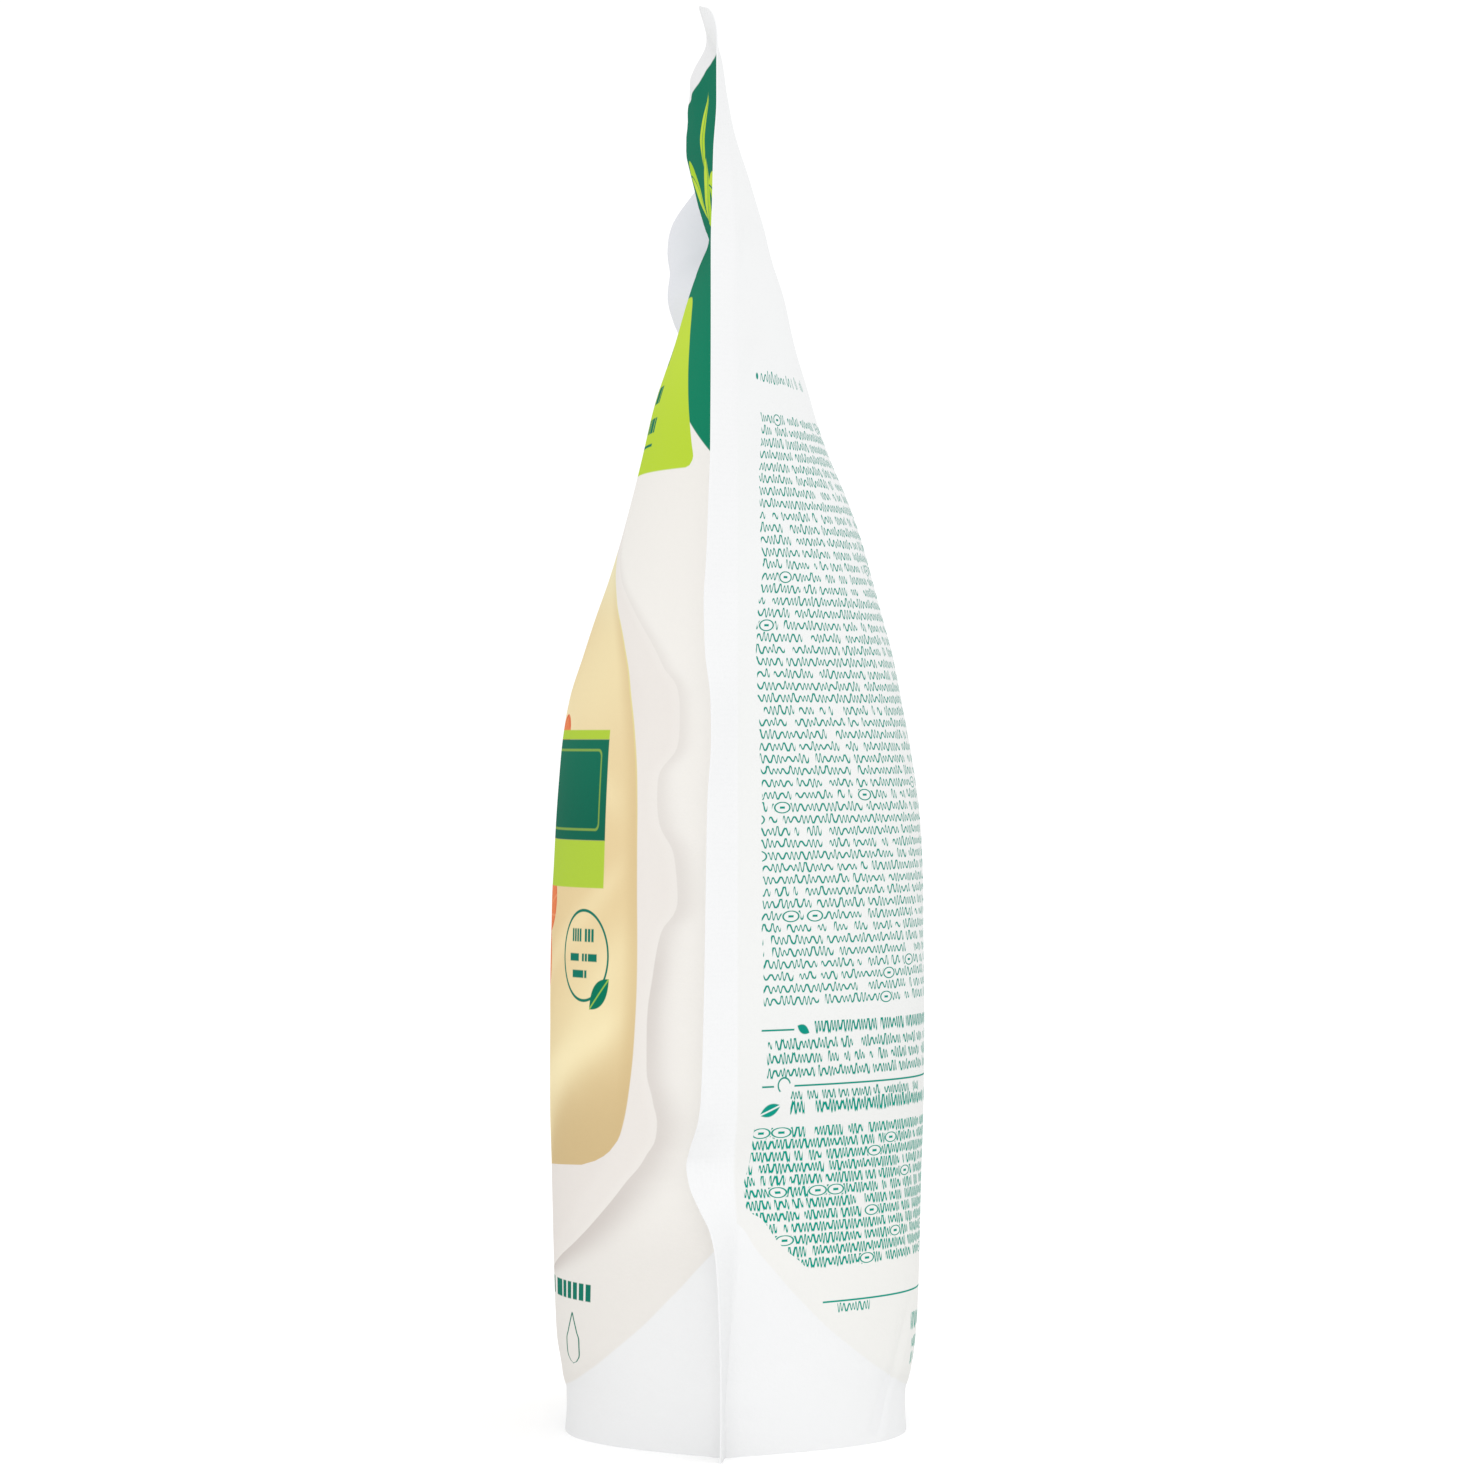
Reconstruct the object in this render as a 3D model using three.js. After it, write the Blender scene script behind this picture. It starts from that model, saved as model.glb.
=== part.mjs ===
// Stand-up refill pouch for liquid hand soap, filled and sealed, as one solid.
// Millimetres. +Z up, the printed front looks along -Y, +X is the reader's right.
// Two printed film webs are welded together down both sides and across the head; a third web,
// folded up between them at the foot, is welded to each of them along a U-shaped line and makes
// the base. The upper left corner is cut back to a pouring spout whose channel is formed into
// the film. Filled with soap, the two faces belly out and the sides draw in.
import * as THREE from "three";

// ---------------------------------------------------------------- driving dimensions
const HEIGHT = 237; // foot to the head's edge
const FLAT_HALF = 70; // half the film's flat width
const SIDE_WELD = 8; // width of each side weld
const HEAD_WELD = 8.3; // height of the head weld
const WELD_T = 0.4; // thickness of two films welded together
const SKIRT_T = 0.4; // thickness of a face film welded to the base film
const HEAD_CORNER_R = 3.5; // rounding of the head's corners
const LIP = [-59.5, 217]; // middle of the spout's cut end, flat x and height
const LIP_DIR = [-0.631, 0.776]; // the way the spout points
const CHANNEL_R = 8.6; // half the pouring channel's width at the lip
const BASE_U_MID = 7.5; // height of the U weld at the middle of each face
const BASE_U_SIDE = 34; // height of the U weld at the side welds
const COLUMNS = 30; // divisions between the side welds

// ---------------------------------------------------------------- interpolation
// Monotone cubic through [x, y] knots, held level past both ends.
function curve(knots) {
  const x = knots.map((k) => k[0]),
    y = knots.map((k) => k[1]),
    n = x.length,
    d = [],
    m = new Array(n).fill(0);
  for (let i = 0; i < n - 1; i++) d.push((y[i + 1] - y[i]) / (x[i + 1] - x[i]));
  for (let i = 1; i < n - 1; i++)
    if (d[i - 1] * d[i] > 0) {
      const h0 = x[i] - x[i - 1],
        h1 = x[i + 1] - x[i],
        w1 = 2 * h1 + h0,
        w2 = h1 + 2 * h0;
      m[i] = (w1 + w2) / (w1 / d[i - 1] + w2 / d[i]);
    }
  m[0] = d[0];
  m[n - 1] = d[n - 2];
  return (t) => {
    if (t <= x[0]) return y[0];
    if (t >= x[n - 1]) return y[n - 1];
    let i = 0;
    while (t > x[i + 1]) i++;
    const h = x[i + 1] - x[i],
      u = (t - x[i]) / h,
      u2 = u * u,
      u3 = u2 * u;
    return (
      (2 * u3 - 3 * u2 + 1) * y[i] +
      (u3 - 2 * u2 + u) * h * m[i] +
      (3 * u2 - 2 * u3) * y[i + 1] +
      (u3 - u2) * h * m[i + 1]
    );
  };
}
const smooth = (a, b, t) => {
  const u = Math.min(1, Math.max(0, (t - a) / (b - a)));
  return u * u * (3 - 2 * u);
};
const bell = (t, c, w) => Math.exp(-(((t - c) / w) ** 2));

// ---------------------------------------------------------------- profiles
const HEAD = HEIGHT - HEAD_WELD;
// How far each face stands out from the middle sheet, at mid width, by height.
const frontDepth = curve([
  [0, 29.6], [4, 29.4], [8, 29.5], [12, 30.2], [16, 30.8], [22, 31.1], [40, 31.6], [56, 31.9],
  [75, 31.9], [90, 31.7], [97, 31.3], [104, 30.9], [111, 30.4], [118, 29.8], [125, 28.6],
  [132, 26.4], [138.6, 24.3], [145.5, 21.9], [152.3, 19.8], [159, 18], [166, 16.2], [173, 14.5],
  [180, 12.4], [187, 10.2], [193.7, 8.2], [198, 6.7], [201, 5.2], [203, 4.1], [204.2, 3.6],
  [205.6, 4], [208, 4.4], [211, 4.7], [215, 4.7], [219, 4.6], [222, 3.6], [225, 2],
  [HEAD, 0], [HEIGHT, 0],
]);
const backDepth = curve([
  [0, 29.2], [4, 29], [8, 29.2], [12, 30.1], [16, 30.6], [22, 31], [40, 31.5], [56, 31.9],
  [75, 32], [90, 31.9], [97, 31.7], [104, 31.3], [111, 30.5], [118, 29.4], [125, 28.1],
  [132, 26.8], [138.6, 25], [145.5, 23.1], [152.3, 21.2], [159, 18.9], [166, 15.9], [173, 13.4],
  [180, 11.4], [187, 9.6], [193.7, 8], [200, 6], [204, 5], [207, 4.3], [211, 3.6],
  [215, 3], [219, 2.4], [222, 1.7], [225, 0.9], [HEAD, 0], [HEIGHT, 0],
]);
// Roundness of the cross-section, by height.
const roundness = curve([[0, 2.85], [14, 2.5], [40, 2.25], [90, 2.15], [150, 2.05], [HEIGHT, 2]]);
// Where the outer edge of each side weld lies, front to back, by height.
const rightEdge = curve([
  [0, -2.7], [10, -2.6], [24.5, -2.9], [33, -3.4], [37.5, -4.3], [41, -6], [44.8, -7.7],
  [48, -8.2], [50.5, -7.7], [55.7, -6.2], [59, -5.8], [75, -5.3], [92, -5], [108, -4.7],
  [118, -4.1], [124.5, -4.2], [132.6, -5.1], [140.6, -5.3], [147, -4.9], [157, -4.5],
  [166, -4.2], [189, -4.1], [198, -4.1], [205, -3.9], [213, -3.7], [221, -3.2], [227, -3.2],
  [232, -3.1], [HEIGHT, -3],
]);
const leftEdge = curve([
  [0, -1.6], [18, -1], [34, 1.6], [45, 5.4], [55, 3.2], [72, 0.6], [98, -1.6], [128, -2.8],
  [158, -2.3], [176, -1.6], [190, -1.2],
]);
// The middle sheet leans forward towards the head: rows by height, columns by flat x.
const LEAN_X = [-70, -56, -45, -20, 0, 20, 45, 61, 70];
const LEAN = [
  [184, [0, 0, 0, 0, 0, 0, 0, 0, 0]],
  [195, [-1.6, -1.6, -1.3, -0.4, 0, 0, 0, 0, 0]],
  [203, [-3.2, -3.1, -2.6, -1, -0.3, 0, 0, -0.2, -0.4]],
  [211, [-4.6, -4.4, -3.9, -2.2, -1.2, -0.8, -0.6, -0.8, -1]],
  [219, [-5.8, -5.8, -5.3, -4.2, -3.4, -2.9, -1.9, -1.6, -1.8]],
  [224, [-6.5, -6.5, -6.3, -6, -5.7, -4.8, -2.5, -2, -2.2]],
  [228.7, [-7.2, -7.2, -7.3, -7.7, -7.9, -7.3, -3.9, -2.7, -2.6]],
  [231, [-7.5, -7.5, -7.5, -7.9, -7.9, -7.1, -4.2, -3.7, -2.8]],
  [233.2, [-7.8, -7.8, -7.7, -7.4, -7, -6, -4.6, -4.9, -3]],
  [235.1, [-8.1, -8.1, -7.8, -6.9, -6.2, -4.8, -5, -5.4, -3.3]],
  [237, [-8.4, -8.4, -7.8, -6.3, -4.6, -4.9, -5.6, -6, -3.8]],
].map(([z, row]) => [z, curve(row.map((y, i) => [LEAN_X[i], y]))]);
const lean = (s, z) => (z <= LEAN[0][0] ? 0 : curve(LEAN.map(([h, f]) => [h, f(s)]))(z));

// ---------------------------------------------------------------- outline, in flat film
const rightOutline = (z) => {
  const over = z - (HEIGHT - HEAD_CORNER_R);
  return over > 0
    ? FLAT_HALF - HEAD_CORNER_R + Math.sqrt(Math.max(0, HEAD_CORNER_R ** 2 - over ** 2))
    : FLAT_HALF;
};
// The left side steps in under the spout, out to its lip, back up its cut end, and so to the head.
const leftOutline = curve([
  [0, -70], [170, -70], [176, -69.5], [182, -67.9], [188, -65.4], [193, -63.6], [197, -63],
  [201, -63.4], [205, -65], [208, -66.9], [209.6, -68], [210.6, -67.9], [212, -66.3],
  [217, -59.8], [222, -53.4], [224, -51.1], [226, -49.4], [229, -48.1], [233.5, -47.6],
  [235.6, -46.6], [HEIGHT, -44],
]);
const leftWeld = curve([
  [0, SIDE_WELD], [170, SIDE_WELD], [186, 6.5], [197, 4], [206, 3.4], [212, 2.6], [219, 2.6],
  [224, 5], [HEIGHT, SIDE_WELD],
]);

// ---------------------------------------------------------------- the filled section
// Half width between the side welds at each height, such that the film keeps its length,
// and the place on that section of each point of the flat film.
const sections = new Map();
function section(z) {
  if (!sections.has(z)) {
    const w = FLAT_HALF - SIDE_WELD,
      d = (frontDepth(z) + backDepth(z)) / 2,
      p = roundness(z),
      steps = 240;
    const length = (a) => {
      let sum = 0,
        px = 0,
        py = d;
      const at = [0];
      for (let i = 1; i <= steps; i++) {
        const x = (a * i) / steps,
          y = d * (1 - (i / steps) ** p);
        sum += Math.hypot(x - px, y - py);
        at.push(sum);
        px = x;
        py = y;
      }
      return at;
    };
    let low = 20,
      high = w;
    for (let i = 0; i < 40; i++) {
      const mid = (low + high) / 2;
      length(mid)[steps] > w ? (high = mid) : (low = mid);
    }
    sections.set(z, { a: low, at: length(low), p, steps, w });
  }
  return sections.get(z);
}
// Share of the half width reached at a share of the film's half length.
function share(sec, s) {
  const want = Math.min(1, Math.abs(s) / sec.w) * sec.at[sec.steps];
  let i = 0;
  while (i < sec.steps - 1 && sec.at[i + 1] < want) i++;
  return (i + (want - sec.at[i]) / (sec.at[i + 1] - sec.at[i])) / sec.steps;
}

// The pouring channel, formed into the film from the body to the lip. `back` is the distance
// from the lip towards the body, `crest` how far forward the channel's ridge stands.
const crest = curve([
  [0.3, -5.8], [2.2, -6.7], [3.5, -7.9], [5.6, -10], [7.8, -11.5], [9.3, -12.1], [11.5, -12.45],
  [14.5, -12.6], [19.3, -12.1], [25.1, -12.5], [29.6, -11.6], [31.8, -10.5], [36, -8.6],
  [42, -7],
]);
function channel(s, z) {
  const dx = s - LIP[0],
    dz = z - LIP[1],
    back = -(dx * LIP_DIR[0] + dz * LIP_DIR[1]),
    across = dx * LIP_DIR[1] - dz * LIP_DIR[0],
    r = CHANNEL_R + 0.13 * Math.max(0, back),
    q = (across / r) ** 2;
  if (q >= 1 || back < 0.3 || back > 44) return { part: 0, back };
  return { part: (1 - q) ** 1.15 * (1 - smooth(33, 44, back)), back };
}
// Left of this line the films are welded together beside the channel, by height.
const weldLimit = curve([
  [0, -400], [150, -140], [165, -90], [176, -70], [186, -60], [192, -56], [200, -49],
  [208, -42], [216, -40], [HEIGHT, -40],
]);

// ---------------------------------------------------------------- the two faces
// side is -1 for the front and 1 for the back. s is the flat film's x and z the height.
function surface(s, z, side) {
  const sec = section(z),
    w = sec.w,
    right = s > 0,
    sign = right ? 1 : -1,
    out = Math.max(0, Math.abs(s) - w),
    t = share(sec, Math.min(Math.abs(s), w)),
    // the sides tuck in just above the base film's corners
    tuck = 1.6 * bell(z, 47, 8),
    sway = right
      ? -2.1 * (1 - smooth(4, 40, z)) - 0.6 * bell(z, 47, 7)
      : 1.2 * bell(z, 46, 7) - 1.2 * (1 - smooth(4, 36, z));
  let x = sign * (sec.a - tuck * t ** 2) * t,
    y = lean(s, z) + sway * t ** 4;
  if (out > 0) {
    const root = lean(sign * w, z) + sway,
      edge = right ? rightEdge(z) : leftEdge(z),
      fold = right ? 1 : 1 - smooth(172, 188, z),
      sin = Math.max(-0.97, Math.min(0.97, ((root - edge) / SIDE_WELD) * fold));
    y = fold * (root - out * sin) + (1 - fold) * (lean(s, z) + sway);
    x = sign * (sec.a - tuck + out * Math.sqrt(1 - sin * sin));
  }
  let lift = 0;
  if (out === 0) {
    // on the front a valley runs across under the head, a little lower to the right
    const zf = side < 0
      ? z + 0.081 * s * smooth(186, 200, z) * (1 - smooth(212, 226, z))
      : z;
    lift = (side < 0 ? frontDepth(zf) : backDepth(z)) * (1 - t ** sec.p);
    lift *= 1 - 0.06 * smooth(0.7, 1, t) * (1 - smooth(2, 34, z));
    lift *= smooth(0, 14, s - weldLimit(z));
  }
  const { part, back } = channel(s, z);
  if (part > 0) {
    const want = side < 0 ? y - WELD_T / 2 - crest(back) : 2.6 * smooth(0.3, 7, back);
    lift += Math.max(0, want - lift) * part;
  }
  return [x, y + side * (WELD_T / 2 + lift), z];
}

// ---------------------------------------------------------------- rings of the outside
// Heights of the rings: closer together at the foot, the tucks of the sides, and the head.
const levels = [];
for (const [from, to, count] of [
  [0, 16, 5], [16, 36, 4], [36, 58, 7], [58, 118, 6], [118, 172, 8], [172, 190, 5],
  [190, 222, 16], [222, HEIGHT, 9],
])
  for (let i = 0; i < count; i++) levels.push(from + ((to - from) * i) / count);
levels.push(HEIGHT);

// Flat x of each column of points at a height, closer together towards the spout's side.
function columns(z) {
  const left = leftOutline(z),
    right = rightOutline(z),
    lw = left + leftWeld(z),
    rw = Math.min(right - 1, FLAT_HALF - SIDE_WELD),
    s = [left, (left + lw) / 2];
  for (let i = 0; i <= COLUMNS; i++) {
    const u = i / COLUMNS;
    s.push(lw + (rw - lw) * (u - 0.085 * Math.sin(2 * Math.PI * u) - 0.07 * Math.sin(Math.PI * u)));
  }
  s.push((rw + right) / 2, right);
  return s;
}
const COUNT = COLUMNS + 5; // points along one face
const points = [],
  faces = [];
const put = (p) => points.push(p) - 1;
// Each ring runs along the front to the right and along the back to the left.
const front = [],
  back = [];
for (const z of levels) {
  const s = columns(z);
  front.push(s.map((x) => put(surface(x, z, -1))));
  back.push(s.map((x) => put(surface(x, z, 1))));
}
const span = (a, b) => Math.hypot(...points[a].map((v, i) => v - points[b][i]));
// A quad is split along its shorter diagonal.
const quad = (a, b, c, d) =>
  span(a, c) <= span(b, d)
    ? faces.push([a, b, c], [a, c, d])
    : faces.push([a, b, d], [b, c, d]);
for (let i = 0; i < levels.length - 1; i++) {
  for (let j = 0; j < COUNT - 1; j++) {
    quad(front[i][j], front[i][j + 1], front[i + 1][j + 1], front[i + 1][j]);
    quad(back[i][j + 1], back[i][j], back[i + 1][j], back[i + 1][j + 1]);
  }
  quad(front[i][COUNT - 1], back[i][COUNT - 1], back[i + 1][COUNT - 1], front[i + 1][COUNT - 1]);
  quad(back[i][0], front[i][0], front[i + 1][0], back[i + 1][0]);
}
const top = levels.length - 1;
for (let j = 0; j < COUNT - 1; j++)
  quad(front[top][j], front[top][j + 1], back[top][j + 1], back[top][j]);

// ---------------------------------------------------------------- the base
// Under each column: up inside the front skirt, over the base film, down inside the back skirt.
// The base film hangs from the U weld and rests flat on the ground in the middle.
const WALL = 3, // divisions of a skirt
  ACROSS = 12; // divisions of the base film from front to back
const foot = columns(0);
function inside(s, z, side) {
  const p = surface(s, z, side),
    n = surface(s + 0.5, z, side),
    m = surface(s - 0.5, z, side),
    slope = (n[1] - m[1]) / Math.max(0.05, n[0] - m[0]);
  return [p[0], p[1] - side * SKIRT_T * Math.min(2.6, Math.hypot(1, slope)), z];
}
const open = foot.map((s) => inside(s, 0, 1)[1] - inside(s, 0, -1)[1] > 2.4);
const first = open.indexOf(true),
  last = open.lastIndexOf(true);
const chains = [];
for (let j = first; j <= last; j++) {
  const s = foot[j],
    t = share(section(0), Math.abs(s)),
    end = share(section(0), Math.min(Math.abs(foot[first]), Math.abs(foot[last]))),
    weld = BASE_U_MID + (BASE_U_SIDE - BASE_U_MID) * t ** 2.3,
    hang = -2.6 + (weld + 2.6) * smooth(0.4, end, t) ** 1.2,
    chain = [];
  for (let k = 0; k <= WALL; k++) chain.push(inside(s, (weld * k) / WALL, -1));
  const a = inside(s, weld, -1),
    b = inside(s, weld, 1);
  for (let k = 1; k < ACROSS; k++) {
    const v = (2 * k) / ACROSS - 1;
    chain.push([
      a[0],
      a[1] + ((b[1] - a[1]) * k) / ACROSS,
      Math.max(0, hang + (weld - hang) * v ** 2),
    ]);
  }
  for (let k = WALL; k >= 0; k--) chain.push(inside(s, (weld * k) / WALL, 1));
  chains.push(chain.map(put));
}
const N = chains[0].length - 1;
for (let j = 0; j < COUNT - 1; j++) {
  const fa = front[0][j],
    fb = front[0][j + 1],
    ba = back[0][j],
    bb = back[0][j + 1];
  if (j >= first && j < last) {
    const a = chains[j - first],
      b = chains[j + 1 - first];
    quad(fb, fa, a[0], b[0]);
    quad(ba, bb, b[N], a[N]);
    for (let k = 0; k < N; k++) quad(b[k], a[k], a[k + 1], b[k + 1]);
  } else if (j === first - 1) {
    const a = chains[0];
    faces.push([fa, ba, bb], [fa, bb, a[N]], [fa, a[N], a[0]], [fa, a[0], fb]);
  } else if (j === last) {
    const a = chains[chains.length - 1];
    faces.push([fb, fa, a[0]], [fb, a[0], a[N]], [fb, a[N], ba], [fb, ba, bb]);
  } else quad(fa, ba, bb, fb);
}
// The blind ends of the hollow at the side welds.
for (const [a, turned] of [[chains[0], false], [chains[chains.length - 1], true]]) {
  const tri = (p, q, r) => faces.push(turned ? [p, r, q] : [p, q, r]);
  for (let k = 0; k < WALL - 1; k++) {
    tri(a[k], a[N - k], a[N - k - 1]);
    tri(a[k], a[N - k - 1], a[k + 1]);
  }
  for (let k = N - WALL + 1; k > WALL; k--) tri(a[WALL - 1], a[k], a[k - 1]);
}

// ---------------------------------------------------------------- solid
const xs = points.map((p) => p[0]),
  ys = points.map((p) => p[1]),
  cx = (Math.min(...xs) + Math.max(...xs)) / 2,
  cy = (Math.min(...ys) + Math.max(...ys)) / 2;
const geometry = new THREE.BufferGeometry();
geometry.setAttribute(
  "position",
  new THREE.Float32BufferAttribute(points.flatMap(([x, y, z]) => [x - cx, y - cy, z]), 3),
);
geometry.setIndex(faces.flat());
geometry.computeVertexNormals();

const group = new THREE.Group();
const pouch = new THREE.Mesh(
  geometry,
  new THREE.MeshStandardMaterial({ color: 0xf2f1ee, roughness: 0.42, metalness: 0 }),
);
pouch.name = "refill_pouch";
group.add(pouch);
export default group;
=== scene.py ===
"""Stand-up refill pouch for liquid hand soap: filled, sealed, printed film, on a pale floor.

The film skin is rebuilt here finer than the solid, with its welds, puckers and creases, and the
print is made of procedural colour fields, simple shapes and greeked rows in film coordinates.
"""

import math

import bpy
import bmesh
import numpy as np
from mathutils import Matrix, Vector


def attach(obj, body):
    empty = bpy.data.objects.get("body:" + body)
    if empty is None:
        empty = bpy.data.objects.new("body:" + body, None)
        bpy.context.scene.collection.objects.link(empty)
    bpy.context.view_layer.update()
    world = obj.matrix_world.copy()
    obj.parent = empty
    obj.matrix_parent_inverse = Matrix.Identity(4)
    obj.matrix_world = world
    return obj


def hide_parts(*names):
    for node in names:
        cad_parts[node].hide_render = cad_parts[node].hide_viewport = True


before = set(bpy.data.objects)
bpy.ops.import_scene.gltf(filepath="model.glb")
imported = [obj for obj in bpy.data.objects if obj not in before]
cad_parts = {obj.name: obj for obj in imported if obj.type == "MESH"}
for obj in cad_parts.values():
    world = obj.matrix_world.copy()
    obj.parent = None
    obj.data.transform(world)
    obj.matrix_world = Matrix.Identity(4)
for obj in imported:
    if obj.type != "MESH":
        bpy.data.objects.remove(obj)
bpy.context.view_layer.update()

# ------------------------------------------------------------------ the pouch's form
# Millimetres, as the solid's: s is the flat film's x, z the height, side -1 the front, 1 the back.
HEIGHT = 237.0
FLAT_HALF = 70.0
SIDE_WELD = 8.0
HEAD = HEIGHT - 8.3
WELD_T = 0.4
HEAD_CORNER_R = 8.0
LIP = (-59.5, 217.0)
LIP_DIR = (-0.631, 0.776)
CHANNEL_R = 8.6
BASE_U_MID = 7.5
BASE_U_SIDE = 34.0


def curve(knots):
    """Monotone cubic through (x, y) knots, level past both ends."""
    x = np.array([k[0] for k in knots], float)
    y = np.array([k[1] for k in knots], float)
    h = np.diff(x)
    d = np.diff(y) / h
    m = np.zeros(len(x))
    for i in range(1, len(x) - 1):
        if d[i - 1] * d[i] > 0:
            w1, w2 = 2 * h[i] + h[i - 1], h[i] + 2 * h[i - 1]
            m[i] = (w1 + w2) / (w1 / d[i - 1] + w2 / d[i])
    m[0], m[-1] = d[0], d[-1]

    def at(t):
        t = np.clip(np.asarray(t, float), x[0], x[-1])
        i = np.clip(np.searchsorted(x, t, side="right") - 1, 0, len(h) - 1)
        u = (t - x[i]) / h[i]
        u2, u3 = u * u, u * u * u
        return (
            (2 * u3 - 3 * u2 + 1) * y[i]
            + (u3 - 2 * u2 + u) * h[i] * m[i]
            + (3 * u2 - 2 * u3) * y[i + 1]
            + (u3 - u2) * h[i] * m[i + 1]
        )

    return at


def smooth(a, b, t):
    u = np.clip((np.asarray(t, float) - a) / (b - a), 0, 1)
    return u * u * (3 - 2 * u)


def bell(t, c, w):
    return np.exp(-(((np.asarray(t, float) - c) / w) ** 2))


front_depth = curve([
    (0, 29.6), (4, 29.4), (8, 29.5), (12, 30.2), (16, 30.8), (22, 31.1), (40, 31.6), (56, 31.9),
    (75, 31.9), (90, 31.7), (97, 31.3), (104, 30.9), (111, 30.4), (118, 29.8), (125, 28.6),
    (132, 26.4), (138.6, 24.3), (145.5, 21.9), (152.3, 19.8), (159, 18), (166, 16.2), (173, 14.5),
    (180, 12.4), (187, 10.2), (193.7, 8.2), (198, 6.7), (201, 5.2), (203, 4.1), (204.2, 3.6),
    (205.6, 4), (208, 4.4), (211, 4.7), (215, 4.7), (219, 4.6), (222, 3.6), (225, 2),
    (HEAD, 0), (HEIGHT, 0),
])
back_depth = curve([
    (0, 29.2), (4, 29), (8, 29.2), (12, 30.1), (16, 30.6), (22, 31), (40, 31.5), (56, 31.9),
    (75, 32), (90, 31.9), (97, 31.7), (104, 31.3), (111, 30.5), (118, 29.4), (125, 28.1),
    (132, 26.8), (138.6, 25), (145.5, 23.1), (152.3, 21.2), (159, 18.9), (166, 15.9),
    (173, 13.4), (180, 11.4), (187, 9.6), (193.7, 8), (200, 6), (204, 5), (207, 4.3),
    (211, 3.6), (215, 3), (219, 2.4), (222, 1.7), (225, 0.9), (HEAD, 0), (HEIGHT, 0),
])
roundness = curve([(0, 2.85), (14, 2.5), (40, 2.25), (90, 2.15), (150, 2.05), (HEIGHT, 2)])
right_edge = curve([
    (0, -2.7), (10, -2.6), (24.5, -2.9), (33, -3.4), (37.5, -4.3), (41, -6), (44.8, -7.7),
    (48, -8.2), (50.5, -7.7), (55.7, -6.2), (59, -5.8), (75, -5.3), (92, -5), (108, -4.7),
    (118, -4.1), (124.5, -4.2), (132.6, -5.1), (140.6, -5.3), (147, -4.9), (157, -4.5),
    (166, -4.2), (189, -4.1), (198, -4.1), (205, -3.9), (213, -3.7), (221, -3.2), (227, -3.2),
    (232, -3.1), (HEIGHT, -3),
])
left_edge = curve([
    (0, -1.6), (18, -1), (34, 1.6), (45, 5.4), (55, 3.2), (72, 0.6), (98, -1.6), (128, -2.8),
    (158, -2.3), (176, -1.6), (190, -1.2),
])
LEAN_X = (-70, -56, -45, -20, 0, 20, 45, 61, 70)
LEAN_ROWS = [
    (184, (0, 0, 0, 0, 0, 0, 0, 0, 0)),
    (195, (-1.6, -1.6, -1.3, -0.4, 0, 0, 0, 0, 0)),
    (203, (-3.2, -3.1, -2.6, -1, -0.3, 0, 0, -0.2, -0.4)),
    (211, (-4.6, -4.4, -3.9, -2.2, -1.2, -0.8, -0.6, -0.8, -1)),
    (219, (-5.8, -5.8, -5.3, -4.2, -3.4, -2.9, -1.9, -1.6, -1.8)),
    (224, (-6.5, -6.5, -6.3, -6, -5.7, -4.8, -2.5, -2, -2.2)),
    (228.7, (-7.2, -7.2, -7.3, -7.7, -7.9, -7.3, -3.9, -2.7, -2.6)),
    (231, (-7.5, -7.5, -7.5, -7.9, -7.9, -7.1, -4.2, -3.7, -2.8)),
    (233.2, (-7.8, -7.8, -7.7, -7.4, -7, -6, -4.6, -4.9, -3)),
    (235.1, (-8.1, -8.1, -7.8, -6.9, -6.2, -4.8, -5, -5.4, -3.3)),
    (237, (-8.4, -8.4, -7.8, -6.3, -4.6, -4.9, -5.6, -6, -3.8)),
]
LEAN_CURVES = [(z, curve(list(zip(LEAN_X, row)))) for z, row in LEAN_ROWS]
left_outline = curve([
    (0, -70), (170, -70), (176, -69.5), (182, -67.9), (188, -65.4), (193, -63.6), (197, -63),
    (201, -63.4), (205, -65), (208, -66.9), (209.6, -68), (210.6, -67.9), (212, -66.3),
    (217, -59.8), (222, -53.4), (224, -51.1), (226, -49.4), (229, -48.1), (233.5, -47.6),
    (235.6, -46.6), (HEIGHT, -44),
])
left_weld = curve([
    (0, SIDE_WELD), (170, SIDE_WELD), (186, 6.5), (197, 4), (206, 3.4), (212, 2.6), (219, 2.6),
    (224, 5), (HEIGHT, SIDE_WELD),
])
crest = curve([
    (0.3, -5.8), (2.2, -6.7), (3.5, -7.9), (5.6, -10), (7.8, -11.5), (9.3, -12.1), (11.5, -12.45),
    (14.5, -12.6), (19.3, -12.1), (25.1, -12.5), (29.6, -11.6), (31.8, -10.5), (36, -8.6),
    (42, -7),
])
weld_limit = curve([
    (0, -400), (150, -140), (165, -90), (176, -70), (186, -60), (192, -56), (200, -49),
    (208, -42), (216, -40), (HEIGHT, -40),
])


def right_outline(z):
    over = z - (HEIGHT - HEAD_CORNER_R)
    if over <= 0:
        return FLAT_HALF
    return FLAT_HALF - HEAD_CORNER_R + math.sqrt(max(0.0, HEAD_CORNER_R**2 - over**2))


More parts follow.
